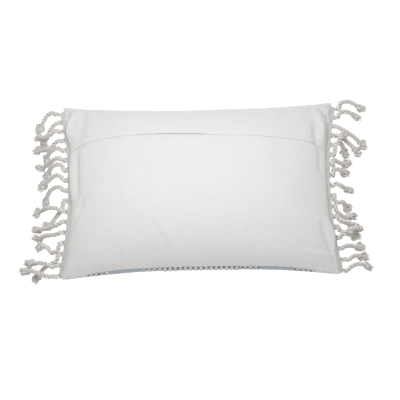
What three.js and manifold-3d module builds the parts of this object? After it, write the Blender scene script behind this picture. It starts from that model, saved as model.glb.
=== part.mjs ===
// Lumbar throw pillow, lying on its patterned front with the plain back up.
// Millimetres, +Z up. X runs along the pillow, Y across it, and the origin is on the floor
// under the middle of the body. Two woven panels and an envelope flap make the cover, a
// stuffed insert fills it, and each short side carries a header tape with a row of knotted
// cotton cords.
import * as THREE from 'three';
import { mergeVertices } from 'three/addons/utils/BufferGeometryUtils.js';
import Module from 'manifold-3d';

// The cover's outline on the seam, with the pillow stuffed.
const cornerLength = 540; // between the corners, along X
const cornerDepth = 348; // between the corners, along Y
const sidePullIn = 22; // the middle of each short seam, in from its corners
const edgePullIn = 15; // the middle of each long seam, in from its corners
const pullPower = 2.2; // how squarely a seam runs into its corners

// The cover's heights above the floor.
const seamHeight = 57; // the seam, midway along a side
const cornerHeight = 31; // the seam, at a corner
const droopPower = 3; // how late the seam droops towards a corner
const crownRise = 76; // the back's crown above the seam
const bellyDrop = 70; // the front below the seam, before the floor flattens it
const bellyBulge = 6.5; // the front spreads past the seam by about this, under it
const lengthPower = 2.6; // how flat the crown runs along X
const depthPower = 2.2; // how flat the crown runs along Y
const edgeRoundness = 0.55; // 0.5 is round at the seam, 1 is a knife edge

// Cloth thicknesses and clearances.
const frontCloth = 1.8; // hand-woven front, with raised loops
const backCloth = 1.0; // plain cotton back
const caseCloth = 0.8; // the insert's own case
const layerGap = 0.5; // between one layer and the next
const seamGap = 0.4; // between the pieces that meet at the seam
const fillShort = 4; // the wadding stops this far short of the case's own seam

// Envelope closure in the back, as shares of the half depth.
const closureMiddle = 0.61; // the flap's edge, midway along it
const closureEnds = 0.4; // the flap's edge, at the side seams
const closurePower = 3;
const tuckedEdge = 0.9; // the lower panel's hidden edge, under the flap

// Header tape and tassels on the short sides.
const headerWidth = 7;
const headerThickness = 2;
const headerGap = 0.7;
const tasselCount = 17; // on each short side
const tasselEndMargin = 8; // from a corner to the first cord
const cordDiameter = 7.5;
const cordGap = 0.5; // from the header to the cord's end
const cordLead = 6; // straight run out of the header
const cordSides = 8;
const cordStep = 12;
const knotRadius = 8;

// Facets across a panel.
const columns = 20;
const rowsBelowClosure = 9;
const rowsUnderFlap = 2;
const rowsAboveTuck = 2;

const wasm = await Module();
wasm.setup();

const cotton = new THREE.MeshStandardMaterial({ color: 0xeeeeeb, roughness: 0.9, metalness: 0 });
const weave = new THREE.MeshStandardMaterial({ color: 0x9aa7b4, roughness: 0.95, metalness: 0 });
const natural = new THREE.MeshStandardMaterial({ color: 0xd9cfc2, roughness: 0.95, metalness: 0 });
const ticking = new THREE.MeshStandardMaterial({ color: 0xf4f4f2, roughness: 0.9, metalness: 0 });
const fibre = new THREE.MeshStandardMaterial({ color: 0xfafafa, roughness: 1, metalness: 0 });

const pillow = new THREE.Group();

function addMesh(name, geometry, material) {
  const mesh = new THREE.Mesh(geometry, material.clone());
  mesh.name = name;
  pillow.add(mesh);
}

// Half the cover's size at a share of the other half: v runs from -1 to 1 across the
// pillow and u from -1 to 1 along it.
const halfLength = (v) => cornerLength / 2 - sidePullIn * (1 - Math.abs(v) ** pullPower);
const halfDepth = (u) => cornerDepth / 2 - edgePullIn * (1 - Math.abs(u) ** pullPower);

function seamLevel(u, v) {
  return seamHeight - (seamHeight - cornerHeight) * Math.abs(u * v) ** droopPower;
}

// The share of the crown at (u, v): 1 in the middle and 0 on the seam.
function puff(u, v) {
  const along = Math.max(0, 1 - Math.abs(u) ** lengthPower);
  const across = Math.max(0, 1 - Math.abs(v) ** depthPower);
  return (along * across) ** edgeRoundness;
}

// A point in plan, inset from the cover's outline, with the seam's level there.
function planPoint(u, v, inset) {
  const x = u * (halfLength(v) - inset);
  const y = v * (halfDepth(u) - inset);
  return { x, y, level: seamLevel(x / halfLength(v), y / halfDepth(u)) };
}

// A point of the upper side: inset in plan from the outline, and depth below the crown.
function backPoint(u, v, inset, depth = inset) {
  const { x, y, level } = planPoint(u, v, inset);
  return new THREE.Vector3(x, y, level + seamGap / 2 + (crownRise - depth) * puff(u, v));
}

// A point of the under side, which spreads below the seam and lies flat on the floor.
function frontPoint(u, v, inset, depth = inset) {
  const { x, y, level } = planPoint(u, v, inset);
  const share = puff(u, v);
  const spread = bellyBulge * 9.5 * share * (1 - share) ** 3; // at its fullest, 1 times bellyBulge
  return new THREE.Vector3(
    x + spread * u * Math.abs(u) ** 3,
    y + spread * v * Math.abs(v) ** 3,
    Math.max(depth, level - seamGap / 2 - (bellyDrop - depth) * share),
  );
}

// Rows and columns bunch towards the seams, where the cloth turns fastest.
const degrees = Math.PI / 180;
const columnShares = Array.from({ length: columns + 1 }, (_, i) =>
  Math.sin((i / columns - 0.5) * Math.PI));

function anglesBetween(from, to, steps) {
  return Array.from({ length: steps }, (_, i) => from + ((to - from) * i) / steps);
}

const closureAngle = Math.asin(closureMiddle) / degrees;
const tuckAngle = Math.asin(tuckedEdge) / degrees;
const rowShares = [
  ...anglesBetween(-90, closureAngle, rowsBelowClosure),
  ...anglesBetween(closureAngle, tuckAngle, rowsUnderFlap),
  ...anglesBetween(tuckAngle, 90, rowsAboveTuck),
  90,
].map((angle) => Math.sin(angle * degrees));
const closureRow = rowsBelowClosure;
const tuckRow = rowsBelowClosure + rowsUnderFlap;
const lastRow = rowShares.length - 1;

// A row bends with the flap's edge: share is the row's place midway along the pillow.
function rowPlace(share, u) {
  const edge = closureMiddle - (closureMiddle - closureEnds) * Math.abs(u) ** closurePower;
  if (share <= closureMiddle) return -1 + ((share + 1) * (edge + 1)) / (closureMiddle + 1);
  return edge + ((share - closureMiddle) * (1 - edge)) / (1 - closureMiddle);
}

// A grid of points from firstRow to finalRow. insetAt gives each row's inset, or its inset
// in plan and its depth.
function grid(pointAt, insetAt, firstRow = 0, finalRow = lastRow) {
  return rowShares.slice(firstRow, finalRow + 1).map((share, i) =>
    columnShares.map((u) => pointAt(u, rowPlace(share, u), ...[insetAt(firstRow + i)].flat())));
}

// A closed solid between an upper and a lower grid of the same size.
function solidBetween(upper, lower) {
  const rows = upper.length;
  const width = upper[0].length;
  const points = [...upper.flat(), ...lower.flat()];
  const at = (side, r, c) => side * rows * width + r * width + c;
  const triangles = [];
  const quad = (a, b, c, d) => triangles.push(a, b, c, a, c, d);
  for (let r = 0; r < rows - 1; r += 1) {
    for (let c = 0; c < width - 1; c += 1) {
      quad(at(0, r, c), at(0, r, c + 1), at(0, r + 1, c + 1), at(0, r + 1, c));
      quad(at(1, r, c), at(1, r + 1, c), at(1, r + 1, c + 1), at(1, r, c + 1));
    }
  }
  const rim = [];
  for (let c = 0; c < width - 1; c += 1) rim.push([0, c]);
  for (let r = 0; r < rows - 1; r += 1) rim.push([r, width - 1]);
  for (let c = width - 1; c > 0; c -= 1) rim.push([rows - 1, c]);
  for (let r = rows - 1; r > 0; r -= 1) rim.push([r, 0]);
  rim.forEach((from, i) => {
    const to = rim[(i + 1) % rim.length];
    quad(at(1, ...from), at(1, ...to), at(0, ...to), at(0, ...from));
  });
  const geometry = new THREE.BufferGeometry().setFromPoints(points);
  geometry.setIndex(triangles);
  return geometry;
}

// Insets of each layer's two faces, from the outside in.
const tuckInset = backCloth + layerGap;
const insertInset = tuckInset + backCloth + layerGap;
const caseInner = insertInset + caseCloth;
const fillInset = caseInner + fillShort;
const fillDepth = caseInner + layerGap;
const frontInsertDepth = frontCloth + layerGap;
const frontCaseInner = frontInsertDepth + caseCloth;
const frontFillDepth = frontCaseInner + layerGap;

// The lower panel dips under the flap over the last rows before the flap's edge.
function lowerPanelInset(row) {
  const dip = THREE.MathUtils.smoothstep(row, closureRow - 3, closureRow - 1);
  return tuckInset * dip;
}

function addFrontPanel() {
  const outer = grid(frontPoint, () => 0);
  const inner = grid(frontPoint, () => frontCloth);
  addMesh('front_panel', solidBetween(inner, outer), weave);
}

function addBackPanels() {
  const flapOuter = grid(backPoint, () => 0, closureRow);
  const flapInner = grid(backPoint, () => backCloth, closureRow);
  addMesh('back_upper_panel', solidBetween(flapOuter, flapInner), cotton);
  const lowerOuter = grid(backPoint, lowerPanelInset, 0, tuckRow);
  const lowerInner = grid(backPoint, (row) => lowerPanelInset(row) + backCloth, 0, tuckRow);
  addMesh('back_lower_panel', solidBetween(lowerOuter, lowerInner), cotton);
}

function addInsert() {
  const caseBack = grid(backPoint, () => insertInset);
  const caseBackInner = grid(backPoint, () => caseInner);
  addMesh('insert_case_back', solidBetween(caseBack, caseBackInner), ticking);
  const caseFront = grid(frontPoint, () => [insertInset, frontInsertDepth]);
  const caseFrontInner = grid(frontPoint, () => [caseInner, frontCaseInner]);
  addMesh('insert_case_front', solidBetween(caseFrontInner, caseFront), ticking);
  const fillTop = grid(backPoint, () => [fillInset, fillDepth]);
  const fillBottom = grid(frontPoint, () => [fillInset, frontFillDepth]);
  addMesh('fibre_fill', solidBetween(fillTop, fillBottom), fibre);
}

// The header tape stands out of the short seam. side is -1 on the left and 1 on the right.
function addHeader(name, side) {
  const places = rowShares.map((share) => rowPlace(share, 1));
  const edge = (out, rise) => places.map((v) => new THREE.Vector3(
    side * (halfLength(v) + headerGap + out),
    (v * cornerDepth) / 2,
    seamLevel(1, v) + rise,
  ));
  const layer = (rise) => {
    const inner = edge(0, rise);
    const outer = edge(headerWidth, rise);
    return places.map((_, r) => (side > 0 ? [inner[r], outer[r]] : [outer[r], inner[r]]));
  };
  const upper = layer(headerThickness / 2);
  const lower = layer(-headerThickness / 2);
  addMesh(name, solidBetween(upper, lower), natural);
}

// Tassel routes, one line for each cord from the far corner to the near one. Each point is
// [out from the header's edge, along +Y from where the cord leaves it, height of the cord's
// middle above the floor]. The last point but one is the knot, and the last is the tail's end.
const leftRoutes = [
  [[13, 2, 35], [24, -3, 31], [33, -13, 20], [41, -22, 9], [43, -31, 6]],
  [[14, -6, 42], [22, -14, 36], [28, -23, 24], [37, -34, 9], [31, -45, 6]],
  [[14, 1, 48], [23, -5, 46], [33, -7, 39], [43, -5, 24], [51, 0, 9], [61, 0, 6]],
  [[12, 0, 51], [20, -5, 47], [28, -10, 37], [42, -9, 21], [56, -5, 9], [66, -10, 6]],
  [[15, 5, 54], [27, 4, 43], [36, 2, 27], [42, -4, 10], [42, -17, 6]],
  [[14, 4, 56], [26, 3, 51], [36, 0, 36], [46, 0, 19], [55, -2, 9], [64, 6, 6]],
  [[10, 9, 57], [20, 13, 54], [31, 12, 43], [37, 9, 28], [44, 3, 10], [46, -9, 6]],
  [[11, 6, 57], [20, 12, 53], [29, 12, 45], [40, 8, 29], [53, 4, 9], [60, -6, 6]],
  [[13, 6, 58], [22, 8, 55], [33, 5, 46], [41, -1, 30], [47, -10, 9], [47, -23, 6]],
  [[9, -12, 54], [17, -22, 46], [26, -30, 37], [33, -36, 24], [42, -37, 9], [52, -34, 6]],
  [[10, -1, 61], [18, 4, 63], [30, 8, 57], [41, 11, 42], [52, 12, 22], [62, 12, 9], [68, 2, 6]],
  [[15, -5, 56], [28, -8, 51], [40, -8, 38], [51, -5, 22], [60, -3, 9], [71, -1, 6]],
  [[15, -3, 54], [31, -2, 44], [44, 0, 28], [57, 0, 9], [68, 4, 6]],
  [[12, -14, 51], [23, -17, 47], [30, -7, 40], [39, 1, 24], [50, 5, 9], [58, -3, 6]],
  [[10, -12, 48], [20, -17, 43], [30, -20, 36], [42, -26, 20], [52, -36, 9], [58, -46, 6]],
  [[13, -4, 46], [24, 0, 54], [36, 4, 50], [49, 9, 27], [61, 13, 9], [73, 14, 6]],
  [[15, 0, 38], [27, 3, 40], [38, 9, 36], [50, 15, 26], [66, 18, 9], [78, 19, 6]],
];
const rightRoutes = [
  [[10, 10, 35], [22, 14, 33], [34, 14, 25], [52, 8, 9], [63, 6, 6]],
  [[12, 8, 42], [23, 12, 38], [34, 13, 26], [46, 11, 9], [57, 7, 6]],
  [[12, -4, 48], [26, -12, 46], [39, -17, 34], [51, -22, 20], [61, -27, 9], [69, -36, 6]],
  [[12, 0, 49], [22, -4, 43], [32, -9, 33], [43, -14, 20], [53, -21, 9], [60, -30, 6]],
  [[11, 4, 52], [19, 6, 45], [26, 3, 30], [31, -3, 9], [38, -10, 6]],
  [[9, 13, 62], [17, 26, 66], [25, 38, 58], [34, 45, 52]],
  [[5, 8, 55], [11, 12, 47], [18, 12, 35], [26, 13, 22], [37, 16, 9], [47, 23, 6]],
  [[5, 10, 57], [13, 14, 49], [22, 17, 31], [33, 19, 9], [43, 15, 6]],
  [[8, 4, 57], [18, 2, 50], [29, 2, 30], [38, 4, 9], [50, 0, 6]],
  [[4, -9, 57], [12, -13, 52], [22, -8, 40], [28, -9, 25], [34, -12, 9], [45, -12, 6]],
  [[6, -8, 56], [14, -14, 48], [24, -17, 34], [33, -13, 18], [41, -9, 9], [53, -8, 6]],
  [[11, -8, 55], [22, -9, 44], [31, -8, 26], [40, -7, 9], [51, -12, 6]],
  [[8, -5, 52], [17, -9, 44], [28, -9, 28], [42, -7, 9], [54, -9, 6]],
  [[10, 5, 53], [19, 11, 55], [29, 18, 48], [38, 23, 35], [44, 25, 23], [55, 27, 17]],
  [[13, 5, 47], [23, 8, 37], [33, 10, 22], [44, 12, 9], [56, 12, 6]],
  [[14, 0, 42], [22, 7, 36], [32, 12, 23], [46, 13, 9], [58, 12, 6]],
  [[12, 7, 35], [23, 13, 32], [34, 16, 22], [48, 15, 9], [58, 8, 6]],
];

function manifoldOf(source) {
  const bare = source.clone();
  bare.deleteAttribute('normal');
  bare.deleteAttribute('uv');
  const merged = mergeVertices(bare, 1e-4);
  return new wasm.Manifold(new wasm.Mesh({
    numProp: 3,
    vertProperties: merged.attributes.position.array,
    triVerts: new Uint32Array(merged.index.array),
  }));
}

function geometryOf(solid) {
  const mesh = solid.getMesh();
  const geometry = new THREE.BufferGeometry();
  geometry.setAttribute('position', new THREE.BufferAttribute(mesh.vertProperties, 3));
  geometry.setIndex(new THREE.BufferAttribute(mesh.triVerts, 1));
  return geometry;
}

// Where cord number index leaves its header, and the way it points there.
function cordStart(side, index) {
  const run = cornerDepth / 2 - tasselEndMargin;
  const y = run - (2 * run * index) / (tasselCount - 1);
  const v = (2 * y) / cornerDepth;
  const slope = (sidePullIn * pullPower * Math.sign(v) * Math.abs(v) ** (pullPower - 1) * 2)
    / cornerDepth;
  const edge = side * (halfLength(v) + headerGap + headerWidth);
  return {
    edge: new THREE.Vector3(edge, y, seamLevel(1, v)),
    out: new THREE.Vector3(side, -slope, 0).normalize(),
  };
}

function addTassel(name, side, index, route) {
  const { edge, out } = cordStart(side, index);
  const points = [
    edge.clone().addScaledVector(out, cordGap),
    edge.clone().addScaledVector(out, cordGap + cordLead),
    ...route.map(([x, y, z]) => new THREE.Vector3(edge.x + side * x, edge.y + y, z)),
  ];
  const curve = new THREE.CatmullRomCurve3(points, false, 'centripetal');
  const section = new THREE.Shape();
  section.absarc(0, 0, cordDiameter / 2, 0, 2 * Math.PI);
  const tube = new THREE.ExtrudeGeometry(section, {
    steps: Math.round(curve.getLength() / cordStep),
    curveSegments: cordSides / 2,
    bevelEnabled: false,
    extrudePath: curve,
  });
  const knot = new THREE.SphereGeometry(knotRadius, cordSides, cordSides - 2);
  knot.rotateX(Math.PI / 2);
  knot.translate(...points.at(-2).toArray());
  addMesh(name, geometryOf(manifoldOf(tube).add(manifoldOf(knot))), natural);
}

function addTassels(sideName, side, routes) {
  routes.slice(0, tasselCount).forEach((route, i) => {
    addTassel(`tassel_${sideName}_${String(i + 1).padStart(2, '0')}`, side, i, route);
  });
}

addFrontPanel();
addBackPanels();
addInsert();
addHeader('fringe_header_left', -1);
addHeader('fringe_header_right', 1);
addTassels('left', -1, leftRoutes);
addTassels('right', 1, rightRoutes);

export default pillow;
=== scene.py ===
import bpy
import math
import numpy as np
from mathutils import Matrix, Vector


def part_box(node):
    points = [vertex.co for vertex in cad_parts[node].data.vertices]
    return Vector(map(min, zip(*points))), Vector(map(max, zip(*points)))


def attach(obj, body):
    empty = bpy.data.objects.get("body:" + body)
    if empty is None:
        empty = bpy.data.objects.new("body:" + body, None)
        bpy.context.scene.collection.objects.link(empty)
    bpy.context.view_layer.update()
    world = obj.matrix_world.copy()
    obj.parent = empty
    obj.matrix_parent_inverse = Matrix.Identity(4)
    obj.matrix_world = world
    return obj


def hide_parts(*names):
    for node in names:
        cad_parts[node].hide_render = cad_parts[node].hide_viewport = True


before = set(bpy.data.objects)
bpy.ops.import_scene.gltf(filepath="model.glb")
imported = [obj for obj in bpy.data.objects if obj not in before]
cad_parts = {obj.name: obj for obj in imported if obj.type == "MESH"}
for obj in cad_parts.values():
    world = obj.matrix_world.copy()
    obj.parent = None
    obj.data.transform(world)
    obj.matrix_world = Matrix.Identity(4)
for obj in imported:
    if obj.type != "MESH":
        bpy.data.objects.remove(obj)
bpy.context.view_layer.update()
bpy.ops.object.select_all(action="DESELECT")
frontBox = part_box("front_panel")
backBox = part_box("back_lower_panel")
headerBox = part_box("fringe_header_right")
print("stage: frame loaded")

# The stuffed cover, in metres: its overall sizes come from the frame.
cover = {
    "length": frontBox[1].x - frontBox[0].x,
    "depth": frontBox[1].y - frontBox[0].y,
    "crown": backBox[1].z,
    "sidePullIn": 0.022,  # the middle of each short seam, in from its corners
    "edgePullIn": 0.015,  # the middle of each long seam, in from its corners
    "pullPower": 2.2,
    "seamHeight": 0.057,
    "cornerHeight": 0.031,
    "droopPower": 3,
    "bellyDrop": 0.070,
    "bellyBulge": 0.0065,  # the front spreads past the seam by this
    "bulgeScale": 9.5,  # brings share * (1 - share) ** 3 to 1 where it is fullest
    "lengthPower": 2.6,
    "depthPower": 2.2,
    "edgeRoundness": 0.55,
    "floorRest": 0.0016,  # the front cloth's outer face above the floor, between its loops
    "backThickness": 0.0006,
    "frontThickness": 0.0018,
    "cornerRounding": 0.014,
    "cornerPower": 18,
}


def halfLength(v):
    return cover["length"] / 2 - cover["sidePullIn"] * (1 - np.abs(v) ** cover["pullPower"])


def halfDepth(u):
    return cover["depth"] / 2 - cover["edgePullIn"] * (1 - np.abs(u) ** cover["pullPower"])


def puff(u, v):  # the share of the crown: 1 in the middle, 0 on the seam
    along = np.clip(1 - np.abs(u) ** cover["lengthPower"], 0, 1)
    across = np.clip(1 - np.abs(v) ** cover["depthPower"], 0, 1)
    return (along * across) ** cover["edgeRoundness"]


def seamLevel(u, v):
    drop = cover["seamHeight"] - cover["cornerHeight"]
    return cover["seamHeight"] - drop * np.abs(u * v) ** cover["droopPower"]


def coverPoint(u, v, upper):
    share = puff(u, v)
    x = u * halfLength(v)
    y = v * halfDepth(u)
    z = seamLevel(u, v)
    if upper:
        return np.stack([x, y, z + (cover["crown"] - cover["seamHeight"]) * share], -1)
    spread = cover["bellyBulge"] * cover["bulgeScale"] * share * (1 - share) ** 3
    x = x + spread * u * np.abs(u) ** 3
    y = y + spread * v * np.abs(v) ** 3
    return np.stack([x, y, np.maximum(cover["floorRest"], z - cover["bellyDrop"] * share)], -1)


def unit(vectors):  # the small number keeps a zero vector from dividing by zero
    return vectors / np.maximum(np.linalg.norm(vectors, axis=-1, keepdims=True), 1e-12)


def squareTo(vectors, direction):  # what is left of the vectors square to the direction
    return unit(vectors - direction * (vectors * direction).sum(-1, keepdims=True))


def ease(low, high, value):  # 0 below low, 1 above high, smooth between
    share = np.clip((value - low) / (high - low), 0, 1)
    return share * share * (3 - 2 * share)


def evenGrid(share, columns, rows):  # s along and t across, each from -share to share
    return np.meshgrid(np.linspace(-share, share, columns), np.linspace(-share, share, rows))


def runLengths(line):  # how far along the line each of its points lies
    return np.concatenate([[0], np.cumsum(np.linalg.norm(np.diff(line, axis=0), axis=1))])


# The view is from the near long side, steeply down.
viewpoint = {
    "azimuth": -1.2,
    "elevation": 74.3,
    "distance": 2.5,
    "target": (0.001, -0.0225, 0.05),
    "lens": 116.0,
    "sensor": 36,
}


def placeCamera():
    azimuth = math.radians(viewpoint["azimuth"])
    elevation = math.radians(viewpoint["elevation"])
    back = Vector((math.sin(azimuth) * math.cos(elevation),
                   -math.cos(azimuth) * math.cos(elevation), math.sin(elevation)))
    lensData = bpy.data.cameras.new("viewCamera")
    lensData.lens = viewpoint["lens"]
    lensData.sensor_width = viewpoint["sensor"]
    camera = bpy.data.objects.new("viewCamera", lensData)
    bpy.context.scene.collection.objects.link(camera)
    camera.location = Vector(viewpoint["target"]) + back * viewpoint["distance"]
    camera.rotation_mode = "QUATERNION"
    camera.rotation_quaternion = (-back).to_track_quat("-Z", "Y")
    bpy.context.scene.camera = camera


placeCamera()
print("stage: camera placed")


class Signal:  # one socket of a finish, so that shader maths reads as an expression
    def __init__(self, finish, output):
        self.finish = finish
        self.output = output

    def maths(self, operation, first, second=0.0):
        return self.finish.node("ShaderNodeMath", {"operation": operation}, {0: first, 1: second})

    def __add__(self, other):
        return self.maths("ADD", self, other)

    def __radd__(self, other):
        return self.maths("ADD", other, self)

    def __sub__(self, other):
        return self.maths("SUBTRACT", self, other)

    def __rsub__(self, other):
        return self.maths("SUBTRACT", other, self)

    def __mul__(self, other):
        return self.maths("MULTIPLY", self, other)

    def __rmul__(self, other):
        return self.maths("MULTIPLY", other, self)

    def __abs__(self):
        return self.maths("ABSOLUTE", self)

    def wave(self):
        return self.maths("SINE", self)

    def above(self, edge):
        return self.maths("GREATER_THAN", self, edge)

    def between(self, low, high):  # 0 below low, 1 above high
        settings = {"interpolation_type": "SMOOTHSTEP"}
        inputs = {"Value": self, "From Min": low, "From Max": high}
        return self.finish.node("ShaderNodeMapRange", settings, inputs)


class Finish:  # one material, built on its Principled shader
    def __init__(self, name, roughness, sheen=0.0, gloss=0.25):
        self.material = bpy.data.materials.new(name)
        self.material.use_nodes = True
        self.tree = self.material.node_tree
        self.surface = self.tree.nodes["Principled BSDF"]
        self.surface.inputs["Roughness"].default_value = roughness
        self.surface.inputs["Sheen Weight"].default_value = sheen
        self.surface.inputs["Specular IOR Level"].default_value = gloss

    def feed(self, socket, value):
        if isinstance(value, Signal):
            self.tree.links.new(value.output, socket)
        else:
            socket.default_value = value

    def node(self, kind, settings=None, inputs=None, output=0):
        made = self.tree.nodes.new(kind)
        for name, value in (settings or {}).items():
            setattr(made, name, value)
        for name, value in (inputs or {}).items():
            self.feed(made.inputs[name], value)
        return Signal(self, made.outputs[output])

    def clothMap(self):  # metres along and across the piece's own cloth
        return self.node("ShaderNodeUVMap", {"uv_map": "cloth"})

    def objectPlace(self):
        return self.node("ShaderNodeTexCoord", None, None, 3)

    def blend(self, share, first, second):
        inputs = {0: share, 6: first, 7: second}
        return self.node("ShaderNodeMix", {"data_type": "RGBA"}, inputs, 2)

    def alongAndAcross(self, vector):
        split = self.tree.nodes.new("ShaderNodeSeparateXYZ")
        self.feed(split.inputs[0], vector)
        return [Signal(self, socket) for socket in split.outputs[:2]]

    def cloud(self, vector, scale, detail=2.0):
        inputs = {"Vector": vector, "Scale": scale, "Detail": detail, "Roughness": 0.5}
        return self.node("ShaderNodeTexNoise", None, inputs)

    def streaks(self, vector, scale, detail=2.0, place=(0, 0, 0)):  # a cloud, drawn out
        inputs = {"Vector": vector, "Scale": scale, "Location": place}
        return self.cloud(self.node("ShaderNodeMapping", None, inputs), 1.0, detail)

    def dress(self, color, height=None, depth=0.001, strength=1.0):
        self.feed(self.surface.inputs["Base Color"], color)
        if height is not None:
            inputs = {"Strength": strength, "Distance": depth, "Height": height}
            bump = self.node("ShaderNodeBump", None, inputs)
            self.feed(self.surface.inputs["Normal"], bump)
        return self.material


# Spun natural cotton: fibres run along each strand, and the hollows between strands get painted shade.
naturalCotton = {
    # the third colour of each kind is painted shade for the hollows between strands
    "cord": [(0.99, 0.955, 0.91, 1), (0.97, 0.93, 0.88, 1), (0.55, 0.49, 0.43, 1)],  # light, dark, hollow
    "tape": [(0.82, 0.81, 0.79, 1), (0.76, 0.745, 0.72, 1), (0.56, 0.545, 0.52, 1)],
    "roughness": 0.92,
    "sheen": 1.0,
    "fibrePitch": 0.00055,
    "fibreTwist": 0.9,
    "fibreWander": 7,
    "fibreShade": 0.22,
    "wanderStretch": (300, 900, 1),
    "wanderHeight": 0.8,
    "patchScale": 90,
    "patchFrom": 0.3,
    "patchTo": 0.6,
    # the outward mark over which the hollows' painted shade fades out
    "paintedShadeFrom": 0.30,
    "paintedShadeTo": 0.80,
    "bumpDepth": 0.00035,
    "bumpStrength": 0.8,
}


def naturalCottonFinish(name, light, dark, hollowPaintedShade):
    cotton = naturalCotton
    finish = Finish(name, cotton["roughness"], cotton["sheen"])
    strand = finish.clothMap()
    along, around = finish.alongAndAcross(strand)
    twist = (along * cotton["fibreTwist"] + around) * (2 * math.pi / cotton["fibrePitch"])
    wander = finish.streaks(strand, cotton["wanderStretch"], 3)
    fibres = (twist + wander * cotton["fibreWander"]).wave() * 0.5 + 0.5
    outward = finish.node("ShaderNodeAttribute", {"attribute_name": "outward"}, None, 2)
    patches = finish.cloud(finish.objectPlace(), cotton["patchScale"], 3)
    color = finish.blend(patches.between(cotton["patchFrom"], cotton["patchTo"]), dark, light)
    color = finish.blend(fibres * cotton["fibreShade"], color, dark)
    # painted shade: the hollow colour covers each strand's inner side, where the strands beside it would
    # shade it
    color = finish.blend(1 - outward.between(cotton["paintedShadeFrom"], cotton["paintedShadeTo"]), color, hollowPaintedShade)
    height = fibres + wander * cotton["wanderHeight"]
    return finish.dress(color, height, cotton["bumpDepth"], cotton["bumpStrength"])


cordFinish = naturalCottonFinish("natural_cotton_cord", *naturalCotton["cord"])
tapeFinish = naturalCottonFinish("natural_cotton_tape", *naturalCotton["tape"])

# Knotted cotton cords: three strands laid together, tied off, with a frayed tail.
fringe = {
    "count": 17,  # on each short side
    "endMargin": 0.008,  # from a corner to the first cord
    "headerReach": headerBox[1].x - cover["length"] / 2,
    "gap": 0.0005,
    "lead": 0.006,  # the straight run out of the header
    "diameter": 0.0075,
    "strands": 3,
    "strandRadius": 0.00215,
    "strandOffset": 0.00275,
    "strandSides": 8,
    "lay": 0.0205,  # one full turn of the strands
    "layStart": 0.37,  # each cord's strands start this share of a turn further on
    "ringStep": 0.0014,
    "routeSamples": 24,  # between two of a route's points
    "rootRun": 0.008,
    "rootPower": 1.5,
    "rootSpread": 0.24,
    "rootFlatten": 0.35,
}

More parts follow.
